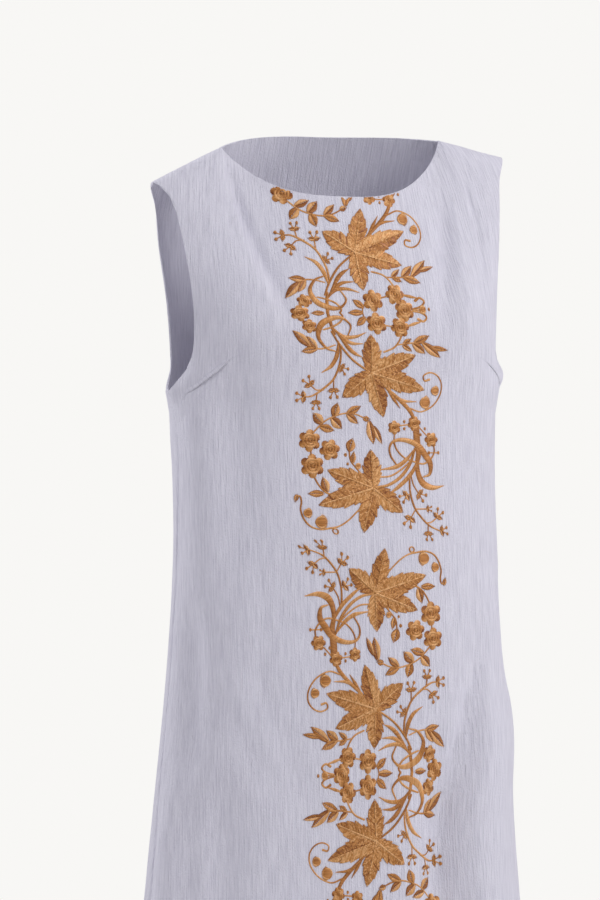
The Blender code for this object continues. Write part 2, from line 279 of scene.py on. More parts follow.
def fold_depth(fold, across, z):
    """How far one fold moves the cloth out at places on its panel."""
    top_across, top_z, low_across, low_z, half_width, depth = fold
    along = (top_z - z) / (top_z - low_z)
    middle = top_across + (low_across - top_across) * np.clip(along, 0, 1)
    profile = np.exp(-((across - middle) * HALF_GIRTH_OF_PANEL / half_width) ** 2)
    fade = ease(0, FOLD_FADE, along)
    if low_z > HEM_HEIGHT:
        fade = fade * ease(1, 1 - FOLD_FADE, along)
    return depth * profile * fade


def dart_depth(across, z):
    """The dip along both bust darts, and the fullness at their points."""
    reach = np.abs(across)
    run = (1 - DART["point_across"]) * HALF_GIRTH_OF_PANEL
    rise = DART["point_height"] - DART["seam_height"]
    length = np.hypot(run, rise)
    from_seam = (1 - reach) * HALF_GIRTH_OF_PANEL
    above_seam = z - DART["seam_height"]
    along = (from_seam * run + above_seam * rise) / length ** 2
    aside = (above_seam * run - from_seam * rise) / length
    fade = ease(1.0, DART_FADES, along) * ease(-DART_STARTS, DART_STARTS, along)
    dip = DART["depth"] * np.exp(-(aside / DART["half_width"]) ** 2) * fade
    away = np.hypot((reach - FULLNESS["across"]) * HALF_GIRTH_OF_PANEL, z - FULLNESS["height"])
    return dip + FULLNESS["depth"] * np.exp(-(away / FULLNESS["reach"]) ** 2)


def fade_at_seams(depth, across, up):
    """Folds and creases die out towards the side and shoulder seams, where the panels meet."""
    return depth * ease(1.0, SIDE_GUARD, np.abs(across)) * ease(2.0, SHOULDER_GUARD, up)


def depth_of_folds(folds, across, z):
    """All the folds of a table together."""
    depth = np.zeros_like(z)
    for fold in folds:
        depth = depth + fold_depth(fold, across, z)
    return depth


def relief(side, across, up, z):
    """Folds and darts together."""
    depth = depth_of_folds(FOLDS[side], across, z)
    if side == "front":
        depth = depth + dart_depth(across, z)
    return fade_at_seams(depth, across, up)


# The woven cloth: columns and rows of its fine mesh, and how many of them one cell of the plain inside spans
FINE = {"columns": 720, "skirt_rows": 60, "upper_rows": 44}
INSIDE_STEP = 4
SHARP_ANGLE = 50

# The turned hem is thicker up to its line of stitches
HEM_TURN = {"height": 0.025, "step": 0.00035, "edge": 0.0008}
HEM_ROWS = (0.0, 0.4, 0.8)
RIM_DROP = 0.0006

# The cloth dips towards its side seams, which hold it down
SEAM_DIP = {"depth": 0.0009, "reach": 0.0020}

# Crinkles of the crepe: spacing across the grain, length along it, and height
CRINKLE_SEEDS = {"front": 10, "back": 20}
CRINKLES = [
    # across, along, height
    (0.0016, 0.035, 0.000065),
    (0.0034, 0.060, 0.000100),
    (0.0080, 0.060, 0.000130),
    (0.0240, 0.070, 0.000350),
]

# The band's stitches stiffen the cloth, so its crinkles are flatter near the middle
STIFFENED = {"full": 0.060, "gone": 0.095, "share": 0.65}

# Small creases, in the same columns as the folds
CREASES = {
    "front": [
        (-0.62, -0.030, -0.44, -0.120, 0.006, -0.0011),
        (-0.34, -0.075, -0.30, -0.200, 0.008, -0.0009),
        (0.38, -0.010, 0.27, -0.210, 0.010, -0.0013),
        (0.52, -0.010, 0.42, -0.230, 0.012, 0.0016),
        (0.68, -0.030, 0.67, -0.130, 0.008, 0.0012),
        (0.72, 0.000, 0.84, -0.060, 0.010, -0.0012),
        (-0.55, -0.330, -0.47, -0.520, 0.010, 0.0010),
        (-0.42, -0.420, -0.46, -0.640, 0.008, -0.0010),
        (0.52, -0.360, 0.44, -0.520, 0.009, -0.0011),
        (0.66, -0.300, 0.74, -0.440, 0.007, -0.0010),
        (-0.66, -0.620, -0.63, -0.860, 0.010, 0.0012),
        (0.70, -0.620, 0.72, -0.905, 0.009, -0.0012),
        (-0.34, -0.640, -0.32, -0.905, 0.010, -0.0010),
        (-0.64, -0.500, -0.34, -0.610, 0.012, 0.0013),
        (-0.60, -0.545, -0.32, -0.650, 0.010, -0.0012),
        (-0.52, -0.610, -0.28, -0.700, 0.010, 0.0012),
        (0.62, -0.440, 0.28, -0.760, 0.013, 0.0040),
        (0.40, -0.600, 0.34, -0.905, 0.013, 0.0040),
        (0.52, -0.450, 0.17, -0.760, 0.010, -0.0028),
        (0.28, -0.600, 0.20, -0.905, 0.010, -0.0026),
        (-0.80, -0.520, -0.66, -0.905, 0.020, -0.0030),
    ],
    "back": [
        (-0.50, -0.040, -0.34, -0.140, 0.007, -0.0011),
        (0.46, -0.050, 0.30, -0.150, 0.007, -0.0009),
        (-0.20, -0.330, -0.10, -0.560, 0.010, -0.0010),
        (0.22, -0.360, 0.16, -0.600, 0.009, 0.0010),
        (-0.66, -0.250, -0.50, -0.360, 0.008, -0.0012),
        (0.64, -0.260, 0.50, -0.380, 0.008, -0.0011),
        (0.46, -0.620, 0.48, -0.905, 0.010, -0.0012),
        (-0.16, -0.640, -0.20, -0.905, 0.010, 0.0012),
    ],
}


def between(values, i, j, s, t):
    """Values of a lattice at shares s and t of the way from its points (i, j) to the next ones."""
    low = values[i, j] * (1 - s) + values[i, j + 1] * s
    high = values[i + 1, j] * (1 - s) + values[i + 1, j + 1] * s
    return low * (1 - t) + high * t


def smooth_noise(seed, x, y):
    """Noise from -1 to 1 that changes over about one unit each way."""
    columns = int(np.ceil(x.max() - x.min())) + 3
    rows = int(np.ceil(y.max() - y.min())) + 3
    values = np.random.RandomState(seed).uniform(-1, 1, (rows, columns))
    x, y = x - x.min(), y - y.min()
    i, j = y.astype(int), x.astype(int)
    return between(values, i, j, ease(0, 1, x - j), ease(0, 1, y - i))


def draped(side, across, up):
    """Points of the cloth's outer face with its folds, and its normals, but without the crinkles."""
    base = smooth_panel(side, across, up)
    normal = outward(side, across, up)
    height = relief(side, across, up, base[..., 2])
    height = height + fade_at_seams(depth_of_folds(CREASES[side], across, base[..., 2]), across, up)
    above_turn = base[..., 2] - HEM_HEIGHT - HEM_TURN["height"]
    height = height + HEM_TURN["step"] * ease(HEM_TURN["edge"], -HEM_TURN["edge"], above_turn)
    from_seam = (1 - np.abs(across)) * HALF_GIRTH_OF_PANEL
    height = height - SEAM_DIP["depth"] * np.exp(-(from_seam / SEAM_DIP["reach"]) ** 2) * (up < 1)
    return base + normal * height[..., None], normal


def distance_round(points):
    """Distance of each point from its row's middle one, measured along the row: the cloth's own width."""
    steps = np.linalg.norm(np.diff(points, axis=1), axis=-1)
    run = np.concatenate([np.zeros((len(points), 1)), np.cumsum(steps, axis=1)], axis=1)
    return run - run[:, [points.shape[1] // 2]]


def crinkle(side, width, height):
    """Height of the crepe's crinkles: long narrow ridges along the grain."""
    total = np.zeros_like(width)
    for index, (across, along, size) in enumerate(CRINKLES):
        total = total + size * smooth_noise(CRINKLE_SEEDS[side] + index, width / across, height / along)
    if side == "front":
        total = total * (1 - STIFFENED["share"] * ease(STIFFENED["gone"], STIFFENED["full"], np.abs(width)))
    return total


def cloth_grid():
    """Places across and up a panel, with close rows at the hem's turning."""
    columns = np.linspace(-1, 1, FINE["columns"] + 1)
    skirt_height = UNDERARM_HEIGHT - HEM_HEIGHT
    turn, edge = HEM_TURN["height"] / skirt_height, HEM_TURN["edge"] / skirt_height
    hem = [share * turn for share in HEM_ROWS] + [turn - edge]
    skirt = np.linspace(turn + edge, 1, FINE["skirt_rows"] + 1)
    beside_arm = 1 + (1 - np.cos(np.linspace(0, pi, FINE["upper_rows"] + 1))) / 2
    return np.meshgrid(columns, np.concatenate([hem, skirt, beside_arm[1:]]))


def border_of(rows, columns, step):
    """Places round the edge of a grid, at every step-th row and column."""
    last_row, last_column = rows - 1, columns - 1
    places = [(0, j) for j in range(0, last_column, step)]
    places += [(i, last_column) for i in range(0, last_row, step)]
    places += [(last_row, j) for j in range(last_column, 0, -step)]
    return places + [(i, 0) for i in range(last_row, 0, -step)]


def grid_faces(rows, columns, first, flipped):
    """Quads of a grid whose points are numbered from first, row by row."""
    i, j = np.meshgrid(np.arange(rows - 1), np.arange(columns - 1), indexing="ij")
    corner = first + i * columns + j
    quads = np.stack([corner, corner + 1, corner + columns + 1, corner + columns], axis=-1).reshape(-1, 4)
    return quads[:, ::-1] if flipped else quads


def rim_faces(rows, columns, flipped):
    """Triangles between the fine outer face's edge and the coarse inner face's."""
    step = INSIDE_STEP
    coarse_columns = (columns - 1) // step + 1
    first = rows * columns
    fine = [i * columns + j for i, j in border_of(rows, columns, 1)]
    coarse = [first + i // step * coarse_columns + j // step for i, j in border_of(rows, columns, step)]
    faces = []
    for k, inner in enumerate(coarse):
        following = coarse[(k + 1) % len(coarse)]
        for m in range(step):
            start, end = fine[k * step + m], fine[(k * step + m + 1) % len(fine)]
            faces.append((inner if m < step // 2 else following, end, start))
        middle = fine[k * step + step // 2]
        faces.append((inner, following, middle))
    faces = np.array(faces)
    return faces[:, ::-1] if flipped else faces


def mesh_from(name, points, quads, triangles):
    """A mesh from arrays, quick enough for a hundred thousand faces."""
    mesh = bpy.data.meshes.new(name)
    corners = np.concatenate([quads.ravel(), triangles.ravel()]).astype(np.int32)
    sizes = np.concatenate([np.full(len(quads), 4), np.full(len(triangles), 3)])
    starts = np.concatenate([[0], np.cumsum(sizes)[:-1]]).astype(np.int32)
    mesh.vertices.add(len(points))
    mesh.vertices.foreach_set("co", points.astype(np.float32).ravel())
    mesh.loops.add(len(corners))
    mesh.loops.foreach_set("vertex_index", corners)
    mesh.polygons.add(len(sizes))
    mesh.polygons.foreach_set("loop_start", starts)
    mesh.update(calc_edges=True)
    mesh.validate()
    return mesh


def add_object(name, data):
    """A new object of the scene."""
    added = bpy.data.objects.new(name, data)
    bpy.context.scene.collection.objects.link(added)
    return added


def add_piece(name, mesh, material):
    """A piece of the dress, with its material."""
    piece = add_object(name, mesh)
    mesh.materials.append(material)
    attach(piece, "root")
    return piece


def make_cloth(side, material):
    """A thin closed shell of cloth: crinkled outside, plain inside, with its edges turned round."""
    across, up = cloth_grid()
    rows, columns = across.shape
    smooth, normal = draped(side, across, up)
    width = distance_round(smooth)
    outer = smooth + normal * crinkle(side, width, smooth[..., 2])[..., None]
    inner = (smooth - normal * CLOTH_THICKNESS)[::INSIDE_STEP, ::INSIDE_STEP]
    edge = np.zeros((rows, columns), bool)
    edge[[0, -1], :] = True
    edge[:, [0, -1]] = True
    outer[edge] = (smooth - normal * RIM_DROP)[edge]
    points = np.concatenate([outer.reshape(-1, 3), inner.reshape(-1, 3)])
    flipped = side == "back"
    quads = np.concatenate([
        grid_faces(rows, columns, 0, flipped),
        grid_faces(inner.shape[0], inner.shape[1], rows * columns, not flipped),
    ])
    mesh = mesh_from(side + "_cloth", points, quads, rim_faces(rows, columns, flipped))
    inner_width = width[::INSIDE_STEP, ::INSIDE_STEP]
    inner_height = smooth[::INSIDE_STEP, ::INSIDE_STEP, 2]
    grain = np.stack([
        np.concatenate([width.ravel(), inner_width.ravel()]),
        np.concatenate([smooth[..., 2].ravel(), inner_height.ravel()]),
    ], axis=-1)
    set_grain(mesh, grain)
    mesh.shade_smooth()
    mesh.set_sharp_from_angle(angle=radians(SHARP_ANGLE))
    piece = add_piece(side + "_cloth", mesh, material)
    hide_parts(side)
    return piece


def set_grain(mesh, grain):
    """Keeps each point's place on the flat cloth, in metres, as the mesh's UV map."""
    corners = np.zeros(len(mesh.loops), np.int32)
    mesh.loops.foreach_get("vertex_index", corners)
    layer = mesh.uv_layers.new(name="grain")
    layer.data.foreach_set("uv", grain[corners].astype(np.float32).ravel())


# Round the pressed fold along a dart's bowed seam: how far below the seam and over the cloth it lies
DART_FOLD = [
    # below, height
    (-0.0004, -0.0004),
    (0.0000, 0.0005),
    (0.0007, 0.0006),
    (0.0022, 0.0003),
    (0.0045, -0.0005),
]
DART_STEPS = 60
DART_START = 0.995
DART_BOW = 1.45
DART_FULL_BELOW = 0.6
DART_FULL_FROM = (-0.1, 0.2)

# The stitches along the hem
HEM_STITCH = {"reach": 0.985, "pitch": 0.0036, "length": 0.0026, "width": 0.0006, "height": 0.00025}

# A stitch has three points round it at each station along it: how far along, how high and how wide, of the
# whole. The short stitches of the leaves have fewer stations
LONG_STITCH = np.array([
    # along, height, width
    (0.00, 0.15, 0.7),
    (0.22, 1.00, 1.0),
    (0.78, 1.00, 1.0),
    (1.00, 0.15, 0.7),
])
SHORT_STITCH = np.array([
    # along, height, width
    (0.0, 0.45, 0.8),
    (0.5, 1.00, 1.0),
    (1.0, 0.45, 0.8),
])
SUNK = 0.15
SHORTEST_WAY = 1e-6

# The search for a place of the front: its steps, the share of the error that each one takes up, and about how
# much across and up change over one metre. Up changes more above the underarm
SEARCH_STEPS = 25
SEARCH_SHARE = 0.8
ACROSS_PER_METRE = 3.4
UP_PER_METRE = (1.45, 4.6)


def search_up(up, error):
    """A better up for a place that is this far too low."""
    rate = np.where(up < 1, UP_PER_METRE[0], UP_PER_METRE[1])
    return np.clip(up + SEARCH_SHARE * rate * error, 0, 2)


def place_on_front(across, height):
    """Points and normals of the front's cloth at its places (across, height)."""
    up = np.full_like(across, 1.0)
    for _ in range(SEARCH_STEPS):
        up = search_up(up, height - smooth_panel("front", across, up)[..., 2])
    return draped("front", across, up)


def make_dart(side, material):
    """The stitched fold of one bust dart, which tapers away towards its point."""
    along = np.linspace(0, 1, DART_STEPS + 1)
    across = side * (DART_START - (DART_START - DART["point_across"]) * along)
    height = DART["point_height"] - (DART["point_height"] - DART["seam_height"]) * (1 - along) ** DART_BOW
    points, normals = place_on_front(across, height)
    ways = np.gradient(points, axis=0)
    below = unit(np.cross(normals, ways))
    below = below * -np.sign(below[:, 2:3])
    size = (ease(1.0, DART_FULL_BELOW, along) * ease(*DART_FULL_FROM, along))[:, None]
    lines = []
    for away, high in DART_FOLD:
        lift = high * size if high > 0 else high
        lines.append(points + below * away * size + normals * lift)
    count = len(lines)
    corner = (np.arange(DART_STEPS)[:, None] * count + np.arange(count)[None]).ravel()
    after = (np.arange(DART_STEPS)[:, None] * count + (np.arange(count)[None] + 1) % count).ravel()
    quads = np.stack([corner, after, after + count, corner + count], axis=-1)
    fan = np.array([(0, k + 1, k) for k in range(1, count - 1)])
    caps = np.concatenate([fan, fan[:, ::-1] + DART_STEPS * count])
    if side > 0:
        quads, caps = quads[:, ::-1], caps[:, ::-1]
    name = "left_dart" if side < 0 else "right_dart"
    mesh = mesh_from(name, np.stack(lines, axis=1).reshape(-1, 3), quads, caps)
    place = [np.stack([across * HALF_GIRTH_OF_PANEL, height - away], axis=-1) for away, _ in DART_FOLD]
    set_grain(mesh, np.stack(place, axis=1).reshape(-1, 2))
    mesh.shade_smooth()
    return add_piece(name, mesh, material)


def make_hem_stitches(side, material):
    """One row of short stitches round a panel, along the upper edge of its turned hem."""
    girth = 2 * HALF_GIRTH_OF_PANEL
    count = int(girth / HEM_STITCH["pitch"])
    middle = np.linspace(-HEM_STITCH["reach"], HEM_STITCH["reach"], count)
    offsets = (LONG_STITCH[:, 0] - 0.5) * HEM_STITCH["length"] / HALF_GIRTH_OF_PANEL
    across = middle[:, None] + offsets[None]
    below_turn = HEM_TURN["height"] - 2 * HEM_TURN["edge"]
    up = np.full_like(across, below_turn / (UNDERARM_HEIGHT - HEM_HEIGHT))
    points, normals = draped(side, across, up)
    ridge = points + normals * (LONG_STITCH[:, 1] * HEM_STITCH["height"])[None, :, None]
    flank = points - normals * HEM_STITCH["height"] / 2
    half = np.array([0, 0, HEM_STITCH["width"] / 2]) * -FACING[side]
    stitches = np.stack([flank + half, ridge, flank - half], axis=2)
    mesh = stitch_mesh(side + "_hem_stitches", stitches, np.zeros(count))
    return add_piece(side + "_hem_stitches", mesh, material)


# The band. Its rows repeat by turns: mirrored at each mirror line, and turned half round between two of them
FIRST_MIRROR = -0.1645
REPEAT = 0.2255
REPEATS = [
    # side, repeats down, direction
    (1, 0, 1),
    (1, 0, -1),
    (-1, -2, 1),
    (-1, -2, -1),
    (1, -4, 1),
]
MIRROR_REPEATS = [row for row in REPEATS if row[2] < 0]
MM = 0.001

# Thread work, in millimetres. The padding lies under the satin stitches, and threads spread past their motif.
# A curve is worked out in short steps between its places
PITCH = 0.62
PAD_PITCH = 1.5
PAD_HEIGHT = 0.40
SATIN_HEIGHT = 0.85
CROWN = 0.16
SPREAD = 1.22
CURVE_STEPS = 12

# Tones run from -1, dark, to 1, bright. Upright threads are painted brightest, a painted sheen that follows
# the way each stitch runs, and the stippled leaves are mottled
PAINTED_SHEEN = 0.40
PAINTED_SHEEN_ANGLE = 20
STIPPLE = {"size": 1.0, "tone": 0.70, "height": 0.14, "painted_sheen": 0.30, "seed": 7}
JITTER = 0.30

# Overlaps are the width of a stitch over its pitch, in the padding and in the satin. A narrow motif stands
# less high: it has the least share of its height, and gains on it with each millimetre of its reach
RIBBON = {"overlaps": (1.5, 1.2), "pad_reach": 0.85, "slant": 0.45, "least": 0.45, "gain": 0.4}
# A lobe's tone, and a big leaf's, is the painted sheen by which its two halves differ, one painted lighter
# and one darker
LOBE = {
    "overlaps": (1.5, 1.15), "lead": 0.8, "channel": 0.25, "tone": 0.22, "pad_shade": 0.6,
    "least": 0.5, "gain": 0.25,
}

# A maple-like leaf of five lobes: the way that each one points, anticlockwise from the right, and its length.
# Its stitches are split into short ones, and stand lower in the veins between its teeth, where they are also
# painted darker as painted shade
LEAF = {
    "width": 19.2, "start": 1.0, "teeth": 5, "tooth": 0.21, "channel": 0.85, "tone": 0.12, "lift": 0.05,
    "pitch": 0.80, "overlap": 1.2, "split": 2.4, "shortest": 0.5,
    "vein_share": 0.13, "vein_height": 0.75,
}
# The raised ribs are painted brighter by their tone, a painted highlight
LEAF_RIB = {"shares": (0, 0.5, 0.93), "half_widths": (0.55, 0.45, 0.25), "lift": 0.85, "tone": 0.4}
LEAF_LOBES = [
    # degrees, length
    (88, 38),
    (21, 50),
    (-16, 59),
    (-74, 45),
    (-142, 39),
]
LOBE_PROFILE = [
    # along, half_width
    (0.00, 0.42),
    (0.18, 0.76),
    (0.38, 0.98),
    (0.54, 1.00),
    (0.74, 0.76),
    (0.90, 0.38),
    (1.00, 0.04),
]
PETAL_PROFILE = [
    # along, half_width
    (0.00, 0.20),
    (0.25, 0.75),
    (0.50, 1.00),
    (0.80, 0.62),
    (1.00, 0.05),
]

# A blossom's reaches and widths are shares of its radius, and its lift and least knot are millimetres
BLOSSOM = {
    "spread": 1.08, "overlaps": (1.6, 1.25), "even_at": 0.85, "eye": 0.08, "lift": 0.1,
    "petals": 6, "scallop": 0.38, "scallop_power": 0.7, "crease_height": 0.35, "dome_power": 0.5,
    "shade": 0.6, "tone": -0.15, "crease_shade": 0.35,
    "arcs": 4, "arc_turn": 2.4, "arc_drift": 0.05, "arc_lift": 0.8, "knot": 0.13, "least_knot": 0.9,
    # reach, half width, tone
    "rings": ((0.56, 0.085, 0.22), (0.32, 0.075, 0.05)),
}
ARC_WIDTHS = (0.5, 0.9, 1.0, 1.0, 0.8, 0.4)

# A berry's heights and a sprig's sizes are millimetres. Large berries have a ring, a share of the radius wide
BERRY = {
    "spread": 1.08, "slant": 0.25, "overlap": 1.15, "edge_height": 0.35, "dome_height": 0.55, "tone": 0.1,
    "ringed_from": 2.8, "ring": 0.8, "ring_angles": (0.6, 6.3), "ring_lift": 0.45, "ring_tone": 0.35,
}
RING_WIDTH = 0.55
RING_END = 0.3
SPRIG = {
    "leaf_turn": 78, "leaf_length": 6.2, "leaf_width": 3.6,
    "bud_turn": 26, "bud_distance": 8.0, "bud": 1.55, "bud_lift": 0.1, "stalk": (0.3, 0.35, 0.4),
}

BIG_LEAVES = [
    # across, down, side
    (4, 60, 1),
    (3, 174, -1),
]

BLOSSOMS = [
    # across, down, radius, turn
    (-58, 14.5, 7.2, 10),
    (13, 11, 10.0, 0),
    (37, 15, 9.0, 25),
    (-61, 127, 10.4, 5),
    (-41, 136, 9.8, 20),
    (-59, 152, 11.2, 0),
    (28, 114, 6.6, 0),
    (50, 110, 7.0, 15),
    (69, 126, 7.2, 30),
]
MIRROR_BLOSSOMS = [
    (-65, 0, 9.0, 0),
    (44, 0, 9.2, 0),
]

RIBBONS = [
    # lift, half width or widths, places (across, down)
    (0.30, (0.5, 0.9, 1.6, 2.4, 2.7, 2.4, 1.5, 0.9, 0.8, 0.5),
     ((-34, 39), (-43, 36), (-50, 27), (-49, 18), (-44, 11), (-34, 6), (-25, 5), (-19, 8), (-15, 14),
      (-19, 23))),
    (0.00, (1.4, 1.5, 1.5, 1.0), ((-37, 0), (-36, 8), (-35, 15), (-33, 22))),
    (0.10, (0.8, 0.8, 0.8, 0.8, 0.6), ((-24, 0), (-22, 4), (-26, 10), (-35, 15), (-44, 18))),
    (0.10, (0.4, 1.4, 1.7, 1.2, 0.2), ((-35, 15), (-28, 22), (-21, 25), (-10, 24), (0, 20))),
    (0.15, (0.4, 1.7, 1.4, 0.2), ((-33, 17), (-23, 27), (-15, 31), (-4, 31))),
    (0.20, (0.4, 1.8, 1.5, 0.2), ((-32, 19), (-20, 35), (-13, 41), (-6, 44))),
    (0.10, (0.5, 1.9, 1.7, 0.2), ((-30, 30), (-32, 42), (-38, 53), (-48, 60))),
    (0.25, (0.8, 0.9, 0.9, 0.8), ((-36, 20), (-29, 32), (-16, 47), (2, 59))),
    (0.05, (0.8, 0.9, 0.9, 0.9, 0.7, 0.5),
     ((-28, 34), (-29, 49), (-36, 66), (-48, 77), (-58, 83), (-64, 84))),
    (0.00, 0.5, ((-36, 66), (-36, 76))),
    (0.00, 0.5, ((-47, 77), (-54, 77), (-60, 72))),
    (0.00, 0.5, ((-53, 81), (-54, 88))),
    (0.00, (0.5, 0.6, 0.6, 0.4), ((-34, 33), (-43, 36), (-53, 37), (-60, 34))),
    (0.00, 0.5, ((0, 0), (1, 4), (3, 7), (6, 9))),
    (0.00, 0.5, ((22, 13), (29, 14))),
    (0.00, (0.6, 1.2, 0.2), ((45, 14), (52, 12), (60, 10))),
    (0.00, (0.6, 0.6, 0.7, 0.8, 0.7, 1.1), ((53, 1), (59, 2), (64, 4), (66, 7), (62, 10), (57, 8))),
    (0.00, 0.7, ((38, 22), (34, 29), (28, 35), (18, 39))),
    (0.00, (0.4, 0.6, 0.6, 0.5), ((32, 32), (39, 31), (49, 30), (60, 30))),
    (0.10, (1.2, 1.7, 1.7, 1.5), ((20, 75), (36, 88), (45, 97), (50, 105))),
    (0.15, (0.6, 1.5, 0.2), ((22, 78), (28, 86), (34, 94))),
    (0.15, (0.5, 1.5, 0.2), ((26, 79), (37, 87), (52, 88))),
    (0.00, (0.7, 0.6, 0.6, 0.6, 0.6, 0.6, 0.6, 0.6, 0.7, 1.0),
     ((46, 95), (58, 98), (71, 92), (79, 81), (80, 70), (75, 62), (67, 59), (60, 62), (61, 67), (66, 66))),
    (0.00, (0.6, 0.6, 0.6, 0.6, 0.6, 0.5),
     ((-57, 119), (-48, 110), (-38, 104), (-24, 100), (-13, 101), (-3, 105))),
    (0.00, 0.6, ((-60, 136), (-60, 143))),
    (0.00, 0.7, ((-58, 162), (-53, 171), (-46, 178), (-34, 182))),
    (0.00, 0.6, ((-21, 136), (-20, 146), (-16, 152), (-7, 162))),
    (0.05, (3.2, 3.2, 2.6, 1.9, 2.6, 3.0, 2.0, 0.2),
     ((52, 113), (53, 130), (54, 140), (52, 151), (54, 163), (60, 171), (70, 174), (82, 172))),
    (0.35, (0.5, 1.3, 2.5, 2.9, 2.7, 2.2, 1.6, 1.1, 0.9, 0.8, 0.6),
     ((59, 163), (66, 160), (67, 150), (62, 142), (55, 133), (46, 128), (35, 126), (26, 128), (22, 134),
      (23, 142), (29, 151))),
    (0.10, (0.7, 0.7, 0.7, 0.7, 0.7, 0.7, 0.7, 0.6),
     ((27, 128), (30, 136), (38, 144), (49, 148), (59, 150), (67, 146), (72, 139), (72, 132))),
    (0.00, 0.5, ((34, 112), (43, 111))),
    (0.00, 0.5, ((56, 114), (63, 121))),
    (0.00, 0.5, ((28, 120), (27, 129))),
    (0.00, 0.4, ((66, 139), (77, 139))),
    (0.15, (0.4, 1.6, 1.8, 0.2), ((49, 136), (40, 146), (28, 153), (10, 156))),
    (0.10, (0.7, 0.7, 0.7, 0.6), ((45, 147), (35, 155), (22, 162), (8, 163))),
    (0.20, (0.9, 1.3, 1.4, 1.2, 0.7), ((50, 135), (44, 150), (33, 163), (19, 171), (5, 173))),
    (0.15, (0.9, 1.4, 1.8, 1.6, 0.3), ((54, 142), (51, 151), (42, 163), (30, 173), (18, 181))),
    (0.05, (0.9, 0.9, 0.9, 0.8, 0.7, 0.5),
     ((43, 162), (43, 178), (47, 193), (55, 204), (64, 212), (75, 217))),
    (0.00, (0.6, 0.6, 0.5), ((45, 163), (47, 171), (52, 179))),
    (0.00, 0.5, ((43, 180), (39, 181))),
    (0.00, 0.5, ((48, 195), (60, 195))),
    (0.00, 0.5, ((47, 197), (43, 203))),
    (0.00, 0.5, ((60, 209), (66, 208), (72, 204))),
    (0.00, 0.5, ((62, 211), (61, 218))),
    (0.00, (0.5, 0.6, 0.6, 0.7, 0.7, 0.7, 0.7, 0.7, 0.7, 0.7, 0.6),
     ((-12, 194), (-24, 205), (-34, 211), (-44, 213), (-54, 214), (-63, 211), (-69, 204), (-72, 195),
      (-71, 187), (-72, 182), (-75, 181))),
]

LEAFLETS = [
    # base across, base down, tip across, tip down, width
    (-59, 35, -75, 20, 7.0),
    (-53, 37, -62, 25, 6.0),
    (-53, 37, -68, 40, 5.5),
    (2, 5, -8, 13, 5.5),
    (39, 31, 47, 26, 4.0),
    (38, 32, 47, 38, 4.0),
    (50, 30, 66, 23, 6.0),
    (49, 31, 61, 40, 6.5),
    (59, 30, 77, 44, 7.0),
    (67, 34, 85, 37, 4.0),
    (-48, 110, -57, 100, 8.0),
    (-36, 103, -32, 90, 7.5),
    (-38, 105, -28, 115, 8.0),
    (-22, 100, -8, 93, 6.0),
    (-22, 101, -11, 110, 6.0),
    (-50, 113, -36, 117, 6.5),
    (-5, 105, 2, 106, 4.5),
    (1, 108, 5, 130, 8.0),
    (6, 113, 14, 130, 5.0),
    (-45, 177, -49, 163, 7.0),
    (-49, 179, -64, 179, 5.5),
    (-21, 137, -17, 125, 8.0),
    (-18, 149, -16, 138, 4.5),
    (-75, 180, -77, 187, 3.5),
]
MIRROR_RIBBONS = [
    (0.00, 0.5, ((53, 0), (60, 0))),
]
MIRROR_LEAFLETS = [
    (-41, 0, -54, 0, 4.5),
    (0, 0, -15, 0, 5.0),
]

BERRIES = [
    # across, down, radius
    (73, 77, 4.3),
    (62, 89, 5.8),
    (-25, 141, 1.6),
    (-23, 150, 1.3),
    (-12, 152, 2.6),
    (39, 108, 1.4),
    (39, 115, 1.4),
    (62, 115, 1.4),
    (57, 121, 1.4),
    (66, 139, 1.5),
    (77, 139, 1.5),
    (-65, 198, 4.2),
    (-52, 207, 6.0),
]
MIRROR_BERRIES = [
    (63, 0, 3.2),
    (70, 0, 1.3),
]
RINGS = [
    # across, down, radius
    (-39, 216, 2.6),
]

SPRIGS = [
    # across, down, the way that it points clockwise from the right, size
    (-28, 55, 35, 0.9),
    (-36, 77, 88, 1.0),
    (-60, 72, -125, 1.0),
    (-66, 84, 180, 1.0),
    (-54, 89, 90, 0.9),
    (53, 180, 35, 1.0),
    (39, 181, 145, 1.0),
    (62, 195, 0, 0.6),
    (42, 204, 118, 1.1),
    (73, 203, -57, 1.0),
    (61, 219, 90, 0.9),
    (77, 217, 0, 0.9),
]


def curve_through(places, step):
    """Points a step apart on a smooth curve, and how far along its list each one is, from 0 to 1."""
    places = np.array(places, float)
    padded = np.concatenate([[2 * places[0] - places[1]], places, [2 * places[-1] - places[-2]]])
    t = np.linspace(0, 1, CURVE_STEPS, endpoint=False)[:, None]
    line, where = [], []
    for k in range(len(places) - 1):
        a, b, c, d = padded[k:k + 4]
        bend = (2 * a - 5 * b + 4 * c - d) * t ** 2
        twist = (3 * b - a - 3 * c + d) * t ** 3
        line.append(0.5 * (2 * b + (c - a) * t + bend + twist))
        where.append((k + t[:, 0]) / (len(places) - 1))
    line = np.concatenate(line + [places[-1:]])
    where = np.concatenate(where + [[1.0]])
    run = np.concatenate([[0], np.cumsum(np.linalg.norm(np.diff(line, axis=0), axis=1))])
    even = np.linspace(0, run[-1], max(3, int(ceil(run[-1] / step)) + 1))
    points = np.stack([np.interp(even, run, line[:, 0]), np.interp(even, run, line[:, 1])], axis=-1)
    return points, np.interp(even, run, where)


def directions_of(line):
    """Unit directions along a line, and the ways to its side."""
    along = unit(np.gradient(line, axis=0))
    return along, np.stack([-along[:, 1], along[:, 0]], axis=-1)


def circle(across, down, radius, angles):
    """Places on a circle at these angles."""
    return [(across + radius * cos(angle), down + radius * sin(angle)) for angle in angles]


def stitch(start, end, width, lift, height, crown, tone):
    """One stitch as a row of numbers, in the order in which place_stitches reads them."""
    return (start[0], start[1], end[0], end[1], width, lift, height, crown, tone)


def layers_of(overlaps):
    """The padding and the satin stitches over it: pitch, width, height and crown of each."""
    padding = (PAD_PITCH, PAD_PITCH * overlaps[0], PAD_HEIGHT, 0.0)
    return padding, (PITCH, PITCH * overlaps[1], SATIN_HEIGHT, CROWN)


